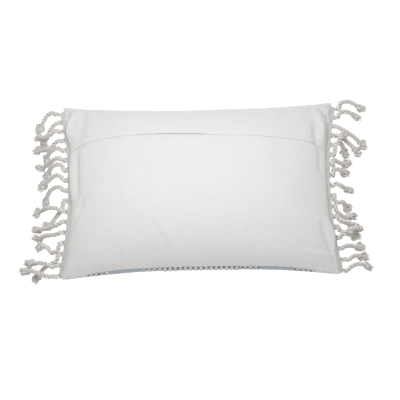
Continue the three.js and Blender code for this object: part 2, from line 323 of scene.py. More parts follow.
# Each cord's points in millimetres, from the far corner to the near one: out from the header's
# edge, along +Y from where it leaves, and the height of its middle. The last but one is the
# knot, and the last is the end of the tail.
cordRoutes = {
    "left": [
        [(13, 2, 35), (24, -3, 31), (33, -13, 20), (41, -22, 9), (43, -31, 6)],
        [(14, -6, 42), (22, -14, 36), (28, -23, 24), (37, -34, 9), (31, -45, 6)],
        [(14, 1, 48), (23, -5, 46), (33, -7, 39), (43, -5, 24), (51, 0, 9), (61, 0, 6)],
        [(12, 0, 51), (20, -5, 47), (28, -10, 37), (42, -9, 21), (56, -5, 9), (66, -10, 6)],
        [(15, 5, 54), (27, 4, 43), (36, 2, 27), (42, -4, 10), (42, -17, 6)],
        [(14, 4, 56), (26, 3, 51), (36, 0, 36), (46, 0, 19), (55, -2, 9), (64, 6, 6)],
        [(10, 9, 57), (20, 13, 54), (31, 12, 43), (37, 9, 28), (44, 3, 10), (46, -9, 6)],
        [(11, 6, 57), (20, 12, 53), (29, 12, 45), (40, 8, 29), (53, 4, 9), (60, -6, 6)],
        [(13, 6, 58), (22, 8, 55), (33, 5, 46), (41, -1, 30), (47, -10, 9), (47, -23, 6)],
        [(9, -12, 54), (17, -22, 46), (26, -30, 37), (33, -36, 24), (42, -37, 9), (52, -34, 6)],
        [(10, -1, 61), (18, 4, 63), (30, 8, 57), (41, 11, 42), (52, 12, 22), (62, 12, 9), (68, 2, 6)],
        [(15, -5, 56), (28, -8, 51), (40, -8, 38), (51, -5, 22), (60, -3, 9), (71, -1, 6)],
        [(15, -3, 54), (31, -2, 44), (44, 0, 28), (57, 0, 9), (68, 4, 6)],
        [(12, -14, 51), (23, -17, 47), (30, -7, 40), (39, 1, 24), (50, 5, 9), (58, -3, 6)],
        [(10, -12, 48), (20, -17, 43), (30, -20, 36), (42, -26, 20), (52, -36, 9), (58, -46, 6)],
        [(13, -4, 46), (24, 0, 54), (36, 4, 50), (49, 9, 27), (61, 13, 9), (73, 14, 6)],
        [(15, 0, 38), (27, 3, 40), (38, 9, 36), (50, 15, 26), (66, 18, 9), (78, 19, 6)],
    ],
    "right": [
        [(10, 10, 35), (22, 14, 33), (34, 14, 25), (52, 8, 9), (63, 6, 6)],
        [(12, 8, 42), (23, 12, 38), (34, 13, 26), (46, 11, 9), (57, 7, 6)],
        [(12, -4, 48), (26, -12, 46), (39, -17, 34), (51, -22, 20), (61, -27, 9), (69, -36, 6)],
        [(12, 0, 49), (22, -4, 43), (32, -9, 33), (43, -14, 20), (53, -21, 9), (60, -30, 6)],
        [(11, 4, 52), (19, 6, 45), (26, 3, 30), (31, -3, 9), (38, -10, 6)],
        [(9, 13, 62), (17, 26, 66), (25, 38, 58), (34, 45, 52)],
        [(5, 8, 55), (11, 12, 47), (18, 12, 35), (26, 13, 22), (37, 16, 9), (47, 23, 6)],
        [(5, 10, 57), (13, 14, 49), (22, 17, 31), (33, 19, 9), (43, 15, 6)],
        [(8, 4, 57), (18, 2, 50), (29, 2, 30), (38, 4, 9), (50, 0, 6)],
        [(4, -9, 57), (12, -13, 52), (22, -8, 40), (28, -9, 25), (34, -12, 9), (45, -12, 6)],
        [(6, -8, 56), (14, -14, 48), (24, -17, 34), (33, -13, 18), (41, -9, 9), (53, -8, 6)],
        [(11, -8, 55), (22, -9, 44), (31, -8, 26), (40, -7, 9), (51, -12, 6)],
        [(8, -5, 52), (17, -9, 44), (28, -9, 28), (42, -7, 9), (54, -9, 6)],
        [(10, 5, 53), (19, 11, 55), (29, 18, 48), (38, 23, 35), (44, 25, 23), (55, 27, 17)],
        [(13, 5, 47), (23, 8, 37), (33, 10, 22), (44, 12, 9), (56, 12, 6)],
        [(14, 0, 42), (22, 7, 36), (32, 12, 23), (46, 13, 9), (58, 12, 6)],
        [(12, 7, 35), (23, 13, 32), (34, 16, 22), (48, 15, 9), (58, 8, 6)],
    ],
}


def smoothRun(points, samples):  # a centripetal curve through the points
    points = np.array(points, float)
    ends = [2 * points[0] - points[1], *points, 2 * points[-1] - points[-2]]
    run = []
    for before, first, second, after in zip(ends, ends[1:], ends[2:], ends[3:]):
        t1 = np.linalg.norm(first - before) ** 0.5
        t2 = t1 + np.linalg.norm(second - first) ** 0.5
        t3 = t2 + np.linalg.norm(after - second) ** 0.5
        t = np.linspace(t1, t2, samples, endpoint=False)[:, None]
        a1 = (t1 - t) / t1 * before + t / t1 * first
        a2 = (t2 - t) / (t2 - t1) * first + (t - t1) / (t2 - t1) * second
        a3 = (t3 - t) / (t3 - t2) * second + (t - t2) / (t3 - t2) * after
        b1 = (t2 - t) / t2 * a1 + t / t2 * a2
        b2 = (t3 - t) / (t3 - t1) * a2 + (t - t1) / (t3 - t1) * a3
        run.append((t2 - t) / (t2 - t1) * b1 + (t - t1) / (t2 - t1) * b2)
    return np.vstack([*run, points[-1:]])


def evenRun(line, step):
    lengths = runLengths(line)
    places = np.linspace(0, lengths[-1], max(4, round(lengths[-1] / step)) + 1)
    return np.stack([np.interp(places, lengths, line[:, k]) for k in range(3)], 1), places


def steadyNormals(line):  # a normal at each point that turns no more than the line does
    tangents = unit(np.gradient(line, axis=0))
    normal = np.cross(tangents[0], (0.13, 0.31, 0.94))  # no cord leaves in this direction
    normals = []
    for tangent in tangents:
        normal = squareTo(normal, tangent)
        normals.append(normal)
    return tangents, np.array(normals)


def ringsAround(line, normals, across, radii, sides):
    angles = np.arange(sides) * 2 * math.pi / sides
    rings = (normals[:, None] * np.cos(angles)[None, :, None]
             + across[:, None] * np.sin(angles)[None, :, None])
    return line[:, None] + rings * np.asarray(radii).reshape(-1, 1, 1)


def tube(line, radii, sides, radial=None):
    tangents, normals = steadyNormals(line)
    if radial is not None:
        normals = squareTo(radial, tangents)
    return ringsAround(line, normals, np.cross(tangents, normals), radii, sides)


def quadsOf(numbers):  # the faces between the rows and columns of point numbers, facing up
    corners = [numbers[:-1, :-1], numbers[:-1, 1:], numbers[1:, 1:], numbers[1:, :-1]]
    return np.stack(corners, -1).reshape(-1, 4)


def pillowNumbers(rows, columns):  # point numbers above and below, which share their edge
    upper = np.arange(rows * columns).reshape(rows, columns)
    under = upper.copy()
    inner = upper[1:-1, 1:-1]
    under[1:-1, 1:-1] = rows * columns + np.arange(inner.size).reshape(inner.shape)
    return upper, under


def pillowFaces(upper, under):
    below = np.roll(quadsOf(under)[:, ::-1], 1, 1)
    return np.vstack([quadsOf(upper), below]).tolist()


class SoftMesh:  # gathers points and faces, with a cloth map and an outward mark, for one piece
    def __init__(self):
        self.points = []
        self.faces = []
        self.flat = []
        self.outward = []

    def addPoints(self, points, flat, outward=1.0):
        start = len(self.points)
        points = points.reshape(-1, 3)
        self.points.extend(points.tolist())
        self.flat.extend(flat.reshape(-1, 2).tolist())
        self.outward.extend(np.broadcast_to(outward, len(points)).tolist())
        return start

    def addTube(self, rings, places, girth, outward=1.0, closed=False):
        count, sides = rings.shape[:2]
        around = np.arange(sides) * girth / sides
        flat = np.stack(np.broadcast_arrays(places[:, None], around[None]), -1)
        start = self.addPoints(rings, flat, np.broadcast_to(outward, (count, sides)).reshape(-1))
        for i in range(count if closed else count - 1):
            j = (i + 1) % count
            for k in range(sides):
                m = (k + 1) % sides
                self.faces.append((start + i * sides + k, start + i * sides + m,
                                   start + j * sides + m, start + j * sides + k))
        if not closed:
            self.faces.append(tuple(start + k for k in range(sides))[::-1])
            self.faces.append(tuple(start + (count - 1) * sides + k for k in range(sides)))

    def build(self, name, finish):
        mesh = bpy.data.meshes.new(name)
        mesh.from_pydata(self.points, [], self.faces)
        mesh.update()
        markCloth(mesh, np.array(self.flat), np.array(self.outward, float))
        mesh.polygons.foreach_set("use_smooth", [True] * len(mesh.polygons))
        mesh.materials.append(finish)
        piece = bpy.data.objects.new(name, mesh)
        bpy.context.scene.collection.objects.link(piece)
        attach(piece, "root")
        return piece


def markCloth(mesh, flat, outward):  # gives the mesh its cloth map and its outward mark
    cloth = mesh.uv_layers.get("cloth") or mesh.uv_layers.new(name="cloth")
    corners = np.empty(len(mesh.loops), int)
    mesh.loops.foreach_get("vertex_index", corners)
    cloth.data.foreach_set("uv", flat[corners].ravel())
    marks = mesh.attributes.new("outward", "FLOAT", "POINT")
    marks.data.foreach_set("value", outward)


def addStrands(soft, line, normals, across, turns, places, layStrand):
    sides = fringe["strandSides"]
    # 1 on each strand's outer side, 0 on its inner side; the cotton finish paints shade where it is low
    outward = 0.5 + 0.5 * np.cos(np.arange(sides) * 2 * math.pi / sides)
    girth = 2 * math.pi * fringe["strandRadius"]
    for strand in range(fringe["strands"]):
        phase = (turns * 2 * math.pi + strand * 2 * math.pi / fringe["strands"])[:, None]
        rings, closed = layStrand(line, normals * np.cos(phase) + across * np.sin(phase))
        soft.addTube(rings, places, girth, np.broadcast_to(outward, rings.shape[:2]), closed)


def cordStart(side, index):
    run = cover["depth"] / 2 - fringe["endMargin"]
    y = run - 2 * run * index / (fringe["count"] - 1)
    v = 2 * y / cover["depth"]
    power = cover["pullPower"]
    slope = cover["sidePullIn"] * power * np.sign(v) * abs(v) ** (power - 1) * 2 / cover["depth"]
    edge = np.array([side * (halfLength(v) + fringe["headerReach"]), y, seamLevel(1, v)])
    return edge, unit(np.array([side, -slope, 0.0]))


def makeCord(name, side, index, route):
    edge, out = cordStart(side, index)
    points = [edge + out * fringe["gap"], edge + out * (fringe["gap"] + fringe["lead"])]
    points += [np.array([edge[0] + side * x / 1000, edge[1] + y / 1000, z / 1000]) for x, y, z in route]
    whole = smoothRun(points, fringe["routeSamples"])
    line, places = evenRun(whole[:(len(points) - 2) * fringe["routeSamples"] + 1], fringe["ringStep"])
    tangents, normals = steadyNormals(line)
    beside = np.array([-out[1], out[0], 0.0])
    fade = np.clip(1 - places / fringe["rootRun"], 0, 1)[:, None] ** fringe["rootPower"]

    def layCordStrand(line, radial):  # the strands fan out where the header binds them
        middle = line + radial * fringe["strandOffset"]
        radii = np.full(len(line), fringe["strandRadius"])
        away = tube(middle, radii, fringe["strandSides"], radial) - line[:, None]
        fan = (away @ beside) * fade * fringe["rootSpread"]
        away = away + fan[..., None] * beside
        away[..., 2] *= 1 - fringe["rootFlatten"] * fade
        return line[:, None] + away, False

    soft = SoftMesh()
    turns = places / fringe["lay"] + index * fringe["layStart"]
    addStrands(soft, line, normals, np.cross(tangents, normals), turns, places, layCordStrand)
    cordPiece = soft.build(name.replace("tassel", "cord"), cordFinish)
    knotPiece = makeKnot(name.replace("tassel", "knot"), points[-2], points[-1])
    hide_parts(name)
    return places[-1]


# The knot that ends a cord: the cord's three strands run once round a trefoil, pulled tight.
knot = {
    "scale": 0.00262,
    "points": 42,
    "turns": 3,
    "lean": 0.25,  # of its axis, towards the tail
    "along": (0.9, 1.05),
    "aside": (0.85, 1.0),
    "deep": (1.2, 1.5),
    "cordLength": 0.046,
    "strandOffset": 0.82,  # a tight strand lies closer in and is thinner
    "strandRadius": 0.86,
    "lowest": 0.0006,
}


def makeKnot(name, middle, tailEnd):
    dice = np.random.default_rng(int.from_bytes(name.encode()[-7:], "little") % 100003)  # by its name's end
    away = unit(tailEnd - middle)
    spin = dice.uniform(0, 2 * math.pi)
    aside = unit(np.cross(away, (0.2, 0.1, 1.0)))  # no tail points that way
    rise = np.cross(away, aside)
    axis = unit(aside * math.cos(spin) + rise * math.sin(spin) + away * knot["lean"])
    first = squareTo(away, axis)
    second = np.cross(axis, first)
    t = np.linspace(0, 2 * math.pi, knot["points"], endpoint=False)[:, None]
    loop = ((np.sin(t) + 2 * np.sin(2 * t)) * first * dice.uniform(*knot["along"])
            + (np.cos(t) - 2 * np.cos(2 * t)) * second * dice.uniform(*knot["aside"])
            - np.sin(3 * t) * axis * dice.uniform(*knot["deep"])) * knot["scale"]
    loop = loop + middle

    def layKnotStrand(line, radial):
        strand = line + radial * fringe["strandOffset"] * knot["strandOffset"]
        along = unit(np.roll(strand, -1, 0) - np.roll(strand, 1, 0))
        facing = squareTo(radial, along)
        radius = fringe["strandRadius"] * knot["strandRadius"]
        rings = ringsAround(strand, facing, np.cross(along, facing), radius, fringe["strandSides"])
        rings[..., 2] = np.maximum(rings[..., 2], knot["lowest"])
        return rings, True

    tangents = unit(np.roll(loop, -1, 0) - np.roll(loop, 1, 0))
    normals = squareTo(loop - middle, tangents)
    turns = t[:, 0] * knot["turns"] / (2 * math.pi)
    places = np.linspace(0, knot["cordLength"], len(t))
    soft = SoftMesh()
    addStrands(soft, loop, normals, np.cross(tangents, normals), turns, places, layKnotStrand)
    addTail(soft, middle, tailEnd, away, aside, rise, dice)
    return soft.build(name, cordFinish)


# The frayed tail: yarns that spread from the knot like a brush.
tail = {
    "yarns": 30,
    "yarnRadius": 0.00095,
    "thinning": 0.35,
    "sides": 5,
    "samples": 4,
    "yarnTurn": 2.39996,  # the golden angle spreads the yarns evenly
    "turnWander": 0.3,
    "flatten": 0.6,
    "spread": 0.0078,
    "spreads": (0.7, 1.15),
    "reach": 0.0035,  # the longest yarn, past the tail's end point
    "reaches": (-1.2, 1.0),
    "rootOut": 0.004,
    "rootSpread": 0.0032,
    "curl": 0.0022,
    "bow": 0.0016,
    "lowest": 0.0012,
    "girth": 0.004,
    "outward": 0.8,
}


def addTail(soft, middle, tailEnd, away, aside, rise, dice):
    reach = np.linalg.norm(tailEnd - middle)
    for yarn in range(tail["yarns"]):
        turn = yarn * tail["yarnTurn"] + dice.uniform(-tail["turnWander"], tail["turnWander"])
        share = math.sqrt((yarn + 0.5) / tail["yarns"])
        side = aside * math.cos(turn) + rise * math.sin(turn) * tail["flatten"]
        length = reach + tail["reach"] * dice.uniform(*tail["reaches"])
        root = middle + away * tail["rootOut"] + side * tail["rootSpread"] * share
        tip = middle + away * length + side * tail["spread"] * share * dice.uniform(*tail["spreads"])
        curl = np.cross(away, side) * dice.uniform(-tail["curl"], tail["curl"])
        curl = curl + side * dice.uniform(0, tail["bow"])
        line = smoothRun([root, (root + tip) / 2 + curl, tip], tail["samples"])
        line[:, 2] = np.maximum(line[:, 2], tail["lowest"])
        radii = np.linspace(1, tail["thinning"], len(line)) * tail["yarnRadius"]
        places = np.linspace(0, length, len(line))
        soft.addTube(tube(line, radii, tail["sides"]), places, tail["girth"], tail["outward"])


cordLengths = []
for sideName, side in (("left", -1), ("right", 1)):
    for index, route in enumerate(cordRoutes[sideName]):
        cordLengths.append(makeCord("tassel_%s_%02d" % (sideName, index + 1), side, index, route))
print("stage: %d cords laid, %.0f to %.0f mm long" % (
    len(cordLengths), min(cordLengths) * 1000, max(cordLengths) * 1000))

# The cover is two flat rectangles sewn edge to edge, then stuffed: a cloth simulation starts
# on the stuffed form, with the flat rectangles as its rest shape.
stuffing = {
    "flatLength": 0.578,
    "flatDepth": 0.398,
    "columns": 92,
    "rows": 62,
    "fineSteps": 601,  # how finely the spacing of the grid is worked out
    "levels": 41,
    "settles": 5,
    "frames": 30,
    "nearPull": 0.0178,  # how far the near seam is drawn in, midway along it
    "nearPower": 3.6,
    "farCorner": 0.0070,  # how far the far corners reach out
    "unevenness": 0.0008,
    "smoothing": 3,
    "seed": 5,
    "fabric": {
        "quality": 6,
        "mass": 0.3,
        "tension_stiffness": 30,
        "compression_stiffness": 30,
        "shear_stiffness": 8,
        "bending_stiffness": 0.05,
        "bending_damping": 0.5,
        "air_damping": 2,
        "use_pressure": True,
        "uniform_pressure_force": 3.0,
    },
    "clothGap": 0.001,
    "tableSize": 3,
    "tableFriction": 20,
}
halfFlatLength = stuffing["flatLength"] / 2
halfFlatDepth = stuffing["flatDepth"] / 2


def evenShares(upper, columns, rows):  # spaces a grid evenly over the cover, as cloth lies
    fine = np.linspace(-1, 1, stuffing["fineSteps"])
    levels = np.sin(np.linspace(-math.pi / 2, math.pi / 2, stuffing["levels"]))
    s = np.linspace(-1, 1, columns + 1)
    t = np.linspace(-1, 1, rows + 1)

    def spaced(line, places):
        run = runLengths(line)
        return np.interp(places, run / run[-1] * 2 - 1, fine)

    along = np.array([spaced(coverPoint(fine, np.full_like(fine, k), upper), s) for k in levels])
    across = np.array([spaced(coverPoint(np.full_like(fine, k), fine, upper), t) for k in levels])
    u = np.tile(s, (rows + 1, 1))
    v = np.tile(t[:, None], (1, columns + 1))
    for settle in range(stuffing["settles"]):
        u, v = (np.stack([np.interp(v[:, i], levels, along[:, i]) for i in range(columns + 1)], 1),
                np.stack([np.interp(u[j], levels, across[:, j]) for j in range(rows + 1)], 0))
    return u, v


def unevenCloth(shape):
    bumps = np.random.default_rng(stuffing["seed"]).normal(size=shape) * stuffing["unevenness"]
    for settle in range(stuffing["smoothing"]):
        bumps[1:-1, 1:-1] = (bumps[1:-1, 1:-1] * 2 + bumps[:-2, 1:-1] + bumps[2:, 1:-1]
                             + bumps[1:-1, :-2] + bumps[1:-1, 2:]) / 5
    bumps[0] = bumps[-1] = 0
    bumps[:, 0] = bumps[:, -1] = 0
    return bumps


def sewCover(upper, lower):  # the two sides as one mesh, with the flat cut as a second shape
    rows, columns = upper.shape[:2]
    numbers, under = pillowNumbers(rows, columns)
    flat = np.stack(np.meshgrid(np.linspace(-0.5, 0.5, columns) * stuffing["flatLength"],
                                np.linspace(-0.5, 0.5, rows) * stuffing["flatDepth"])
                    + [np.zeros((rows, columns))], -1)
    stuffed, cutFlat = [np.vstack([over.reshape(-1, 3), below[1:-1, 1:-1].reshape(-1, 3)])
                        for over, below in ((upper, lower), (flat, flat))]
    mesh = bpy.data.meshes.new("stuffedCover")
    mesh.from_pydata(stuffed.tolist(), [], pillowFaces(numbers, under))
    piece = bpy.data.objects.new("stuffedCover", mesh)
    bpy.context.scene.collection.objects.link(piece)
    piece.shape_key_add(name="stuffed")
    cut = piece.shape_key_add(name="flat")
    cut.data.foreach_set("co", cutFlat.ravel())
    cut.value = 0
    seam = piece.vertex_groups.new(name="seam")
    edge = np.concatenate([numbers[0], numbers[-1], numbers[1:-1, 0], numbers[1:-1, -1]])
    seam.add(edge.tolist(), 1.0, "REPLACE")
    return piece, cut, numbers, under


def stuffCover():
    upper = coverPoint(*evenShares(True, stuffing["columns"], stuffing["rows"]), True)
    lower = coverPoint(*evenShares(False, stuffing["columns"], stuffing["rows"]), False)
    bumps = unevenCloth(upper.shape[:2])
    upper[..., 2] += bumps
    lower[..., 2] += np.abs(bumps)
    piece, cut, numbers, under = sewCover(upper, lower)
    bpy.context.view_layer.objects.active = piece
    cloth = piece.modifiers.new("cloth", "CLOTH")
    cloth.settings.rest_shape_key = cut
    cloth.settings.vertex_group_mass = "seam"
    for name, value in stuffing["fabric"].items():
        setattr(cloth.settings, name, value)
    cloth.settings.effector_weights.gravity = 0
    cloth.collision_settings.distance_min = stuffing["clothGap"]
    bpy.ops.mesh.primitive_plane_add(size=stuffing["tableSize"], location=(0, 0, 0))
    table = bpy.context.object
    table.modifiers.new("table", "COLLISION")
    table.collision.thickness_outer = stuffing["clothGap"]
    table.collision.cloth_friction = stuffing["tableFriction"]
    scene = bpy.context.scene
    scene.frame_start = 1
    scene.frame_end = stuffing["frames"]
    cloth.point_cache.frame_end = stuffing["frames"]
    for frameNumber in range(1, stuffing["frames"] + 1):
        scene.frame_set(frameNumber)
    settled = piece.evaluated_get(bpy.context.evaluated_depsgraph_get())
    found = np.empty(len(settled.data.vertices) * 3)
    settled.data.vertices.foreach_get("co", found)
    found = found.reshape(-1, 3)
    bpy.data.objects.remove(piece)
    bpy.data.objects.remove(table)
    scene.frame_set(1)
    return found[numbers], found[under]


def drawnIn(cloth):  # the far corners reach out a little, and the near seam is drawn in
    rows, columns = cloth.shape[:2]
    s, t = evenGrid(1, columns, rows)
    away = np.abs(s)
    nearPull = stuffing["nearPull"] * (1 - away ** stuffing["nearPower"])
    nearPull = nearPull - cover["edgePullIn"] * (1 - away ** cover["pullPower"])
    farPull = stuffing["farCorner"] * away**5
    shift = nearPull * ((1 - t) / 2) ** 5 + farPull * ((1 + t) / 2) ** 4
    return cloth + np.stack([0 * shift, shift, 0 * shift], -1)


upperCloth, lowerCloth = [drawnIn(cloth) for cloth in stuffCover()]
print("stage: cover stuffed, crown %.1f mm" % (upperCloth[..., 2].max() * 1000))


def clothAt(cloth, s, t):  # a smooth point of the cloth, where s and t run from -1 to 1
    rows = cloth.shape[0] - 1
    columns = cloth.shape[1] - 1

    def taps(share, last):
        place = (np.clip(share, -1, 1) + 1) / 2 * last
        cell = np.minimum(place.astype(int), last - 1)
        f = place - cell
        weights = (-0.5 * f + f**2 - 0.5 * f**3, 1 - 2.5 * f**2 + 1.5 * f**3,
                   0.5 * f + 2 * f**2 - 1.5 * f**3, -0.5 * f**2 + 0.5 * f**3)
        return cell, weights

    padded = np.pad(cloth, ((1, 1), (1, 1), (0, 0)), "reflect", reflect_type="odd")
    column, columnWeights = taps(s, columns)
    row, rowWeights = taps(t, rows)
    total = 0
    for j in range(4):
        for i in range(4):
            share = (rowWeights[j] * columnWeights[i])[..., None]
            total = total + share * padded[row + j, column + i]
    return total


def softNoise(x, y, size, seed):  # smooth lumps about size metres across, from -1 to 1
    cells = 64
    lattice = np.random.default_rng(seed).uniform(-1, 1, (cells, cells))
    px = x / size + 31.3  # moved, so that the lattice's own rows don't start at the origin
    py = y / size + 29.7
    i = np.floor(px).astype(int)
    j = np.floor(py).astype(int)
    fx = ease(0, 1, px - i)
    fy = ease(0, 1, py - j)
    low = lattice[j % cells, i % cells] * (1 - fx) + lattice[j % cells, (i + 1) % cells] * fx
    high = lattice[(j + 1) % cells, i % cells] * (1 - fx) + lattice[(j + 1) % cells, (i + 1) % cells] * fx
    return low * (1 - fy) + high * fy


# Wrinkles that the stuffing and the seams leave in the cover.
wrinkles = {
    "seamPinch": 0.0002,
    "seamPinchRun": 0.003,
    "pinchStart": 0.003,  # each start is the run from the seam over which its wrinkles grow
    "puckerHeight": 0.0009,
    "puckerPitch": 0.0125,
    "puckerRun": 0.016,
    "puckerStart": 0.004,
    "puckerWander": 3.8,
    "puckerStrength": 0.55,
    "puckerUneven": 0.45,
    "wanderSize": 0.03,
    "strengthSize": 0.045,
    "lumpHeight": 0.0010,
    "lumpSize": 0.062,
    "lumpStart": 0.03,
    "foldStart": 0.006,
    "foldFrom": 0.12,  # where a fold's ends lie on the half wave of its depth
    "foldTo": 0.88,
    "foldSamples": 6,
    "fineHeight": 0.00035,
    "fineSize": 0.017,
    "upperSeed": 11,
    "lowerSeed": 41,
    "sideFrom": 0.215,  # folds from here outward are the sides' own
    "sideFolds": 2.1,
    "midFolds": 0.8,
}

# Each fold runs from one point of the plan to the next, with its height (below zero is a dip)
# and its half width.
backFolds = [
    ([(-0.240, 0.163), (-0.251, 0.128), (-0.256, 0.098)], 0.0040, 0.0065),
    ([(-0.256, 0.164), (-0.262, 0.130), (-0.262, 0.100)], -0.0036, 0.0065),
    ([(-0.222, 0.158), (-0.226, 0.125), (-0.232, 0.085)], -0.0016, 0.0080),
    ([(-0.246, 0.072), (-0.248, 0.030), (-0.246, -0.020)], 0.0026, 0.0050),
    ([(-0.236, 0.070), (-0.237, 0.030), (-0.235, -0.022)], -0.0026, 0.0055),
    ([(-0.222, -0.030), (-0.234, -0.052), (-0.248, -0.076)], -0.0030, 0.0045),
    ([(-0.214, -0.040), (-0.227, -0.066), (-0.240, -0.092)], 0.0022, 0.0075),
    ([(0.234, 0.145), (0.242, 0.120), (0.243, 0.090)], 0.0032, 0.0060),
    ([(0.240, 0.160), (0.256, 0.146), (0.262, 0.120)], -0.0026, 0.0055),
    ([(0.226, 0.120), (0.229, 0.090), (0.232, 0.060)], -0.0022, 0.0070),
    ([(0.238, 0.070), (0.237, 0.045), (0.235, 0.018)], -0.0022, 0.0060),
    ([(0.244, -0.076), (0.256, -0.105), (0.268, -0.140)], 0.0034, 0.0060),
    ([(0.232, -0.082), (0.243, -0.112), (0.256, -0.148)], -0.0030, 0.0060),
    ([(0.200, -0.128), (0.226, -0.130), (0.250, -0.134)], -0.0014, 0.0035),
    ([(0.196, -0.137), (0.222, -0.139), (0.246, -0.144)], 0.0014, 0.0035),
    ([(0.002, -0.104), (0.003, -0.130), (0.001, -0.158)], -0.0020, 0.0045),
    ([(0.012, -0.108), (0.012, -0.132), (0.009, -0.158)], 0.0016, 0.0055),
    ([(-0.094, -0.080), (-0.078, -0.104), (-0.056, -0.132)], -0.0013, 0.0070),
    ([(-0.082, -0.078), (-0.066, -0.102), (-0.044, -0.130)], 0.0012, 0.0070),
    ([(-0.160, -0.118), (-0.152, -0.136), (-0.148, -0.158)], -0.0014, 0.0050),
    ([(0.104, -0.116), (0.100, -0.136), (0.098, -0.158)], -0.0013, 0.0050),
    ([(-0.205, 0.166), (-0.198, 0.148), (-0.190, 0.128)], -0.0022, 0.0060),
    ([(-0.080, 0.170), (-0.076, 0.152), (-0.074, 0.134)], -0.0016, 0.0060),
    ([(0.130, 0.170), (0.126, 0.150), (0.122, 0.130)], -0.0018, 0.0065),
    ([(0.205, 0.166), (0.200, 0.150), (0.192, 0.134)], 0.0018, 0.0060),
]


def foldHeight(x, y):
    height = np.zeros_like(x)
    for points, rise, halfWidth in backFolds:
        run = smoothRun([(*point, 0) for point in points], wrinkles["foldSamples"])[:, :2]
        shares = np.linspace(0, 1, len(run))
        nearest = np.full(x.shape, 1e9)
        place = np.zeros_like(x)
        for a, b, first, second in zip(run, run[1:], shares, shares[1:]):
            step = b - a
            f = np.clip(((x - a[0]) * step[0] + (y - a[1]) * step[1]) / (step @ step), 0, 1)
            away = np.hypot(x - a[0] - f * step[0], y - a[1] - f * step[1])
            place = np.where(away < nearest, first + f * (second - first), place)
            nearest = np.minimum(nearest, away)
        wave = wrinkles["foldFrom"] + (wrinkles["foldTo"] - wrinkles["foldFrom"]) * place
        atSide = abs(points[0][0]) > wrinkles["sideFrom"]
        depth = rise * wrinkles["sideFolds" if atSide else "midFolds"]
        height += depth * np.sin(math.pi * wave) * np.exp(-((nearest / halfWidth) ** 2))
    return height


def facingOf(points, upper):
    facing = unit(np.cross(np.gradient(points, axis=1), np.gradient(points, axis=0)))
    return facing if upper else -facing


# The underside rolls out below the seam, where the weight rests.
belly = {
    "run": 0.020,  # from the seam down to where it is fullest
    "sideRoll": 0.002,
    "nearRoll": 0.0038,
    "cornerLoss": 0.5,
}


def settleBelly(points, s, t):
    inFromSide = halfFlatLength * (1 - np.abs(s)) / belly["run"]
    inFromEdge = halfFlatDepth * (1 + t) / belly["run"]
    awayX = np.sign(s) * inFromSide * np.exp(1 - inFromSide) * belly["sideRoll"] * (1 - t**4)
    nearRoll = belly["nearRoll"] * (1 - belly["cornerLoss"] * s**8)
    awayY = -inFromEdge * np.exp(1 - inFromEdge) * nearRoll
    return points + np.stack([awayX, awayY, np.zeros_like(awayX)], -1)


def wrinkleHeight(s, t, seed):  # puckers along the seam, and lumps over the rest
    flatX = s * halfFlatLength
    flatY = t * halfFlatDepth
    toSide = halfFlatLength - np.abs(flatX)
    toEdge = halfFlatDepth - np.abs(flatY)
    seamAway = np.minimum(toSide, toEdge)
    along = np.where(toSide < toEdge, flatY, flatX)
    wander = softNoise(along, seamAway * 0.3, wrinkles["wanderSize"], seed) * wrinkles["puckerWander"]
    uneven = softNoise(along, seamAway * 0, wrinkles["strengthSize"], seed + 1)
    strength = wrinkles["puckerStrength"] + wrinkles["puckerUneven"] * uneven
    pucker = np.sin(2 * math.pi * along / wrinkles["puckerPitch"] + wander)
    pucker = pucker * strength * np.exp(-seamAway / wrinkles["puckerRun"])
    pucker = pucker * ease(0, wrinkles["puckerStart"], seamAway) * wrinkles["puckerHeight"]
    lumps = softNoise(flatX, flatY, wrinkles["lumpSize"], seed + 2) * wrinkles["lumpHeight"]
    fine = softNoise(flatX, flatY * 0.6, wrinkles["fineSize"], seed + 3) * wrinkles["fineHeight"]
    pinch = wrinkles["seamPinch"] * np.exp(-seamAway / wrinkles["seamPinchRun"])
    pinch = pinch * ease(0, wrinkles["pinchStart"], seamAway)
    return pucker + (lumps + fine) * ease(0, wrinkles["lumpStart"], seamAway) - pinch, seamAway


def creased(cloth, s, t, upper):  # the cloth with its wrinkles, and the way it faces
    corner = 1 - cover["cornerRounding"] * np.abs(s * t) ** cover["cornerPower"]
    points = clothAt(cloth, s * corner, t * corner)
    height, seamAway = wrinkleHeight(s, t, wrinkles["upperSeed" if upper else "lowerSeed"])
    if upper:
        folds = foldHeight(points[..., 0], points[..., 1])
        height = height + folds * ease(0, wrinkles["foldStart"], seamAway)
    else:
        points = settleBelly(points, s, t)
    points = points + facingOf(points, upper) * height[..., None]
    return points, facingOf(points, upper)


# The envelope closure: the flap's hemmed edge bows over the lower panel.
closure = {
    "middle": 0.470,  # the flap's edge, as a share of the flat half depth
    "ends": 0.374,
    "power": 3,
    "skew": 0.062,
    "tucked": 0.80,  # the lower panel's hidden edge
    "lowerSink": 0.0004,  # the lower panel lies this far under the cover's face, below the flap
    "sinkFrom": -0.010,
    "sinkTo": 0.002,
    "flapLift": 0.00045,
    "liftFrom": 0.02,  # the flap comes back to the cover's face over this stretch
    "liftTo": 0.05,
    "hemWidth": 0.0145,
    "hemStep": 0.0022,
    "hemLift": 0.0002,
    "gapeLift": 0.0016,
    "gapeFrom": -0.115,
    "gapeTo": 0.035,
    "gapeEase": 0.05,
    "gapeEnd": 0.04,
    "gapeRun": 0.012,
    "rippleLift": 0.0005,
    "rippleSize": 0.014,
    "rippleRun": 0.010,
    "rippleSeed": 77,
    "stitchPitch": 0.0034,
    "stitchLength": 0.0025,
    "stitchRadius": 0.00032,
    "stitchFlatness": 0.8,
    "stitchRise": 0.00012,
    "stitchDip": 0.00045,
    "stitchDipRun": 0.0012,
    "stitchReach": 0.985,
    "stitchMap": 0.001,
    "hemSamples": 1601,
    "sideRun": 0.012,  # in from each side seam, where the flap lies flat on the panel
    "sinkRun": 0.010,
}


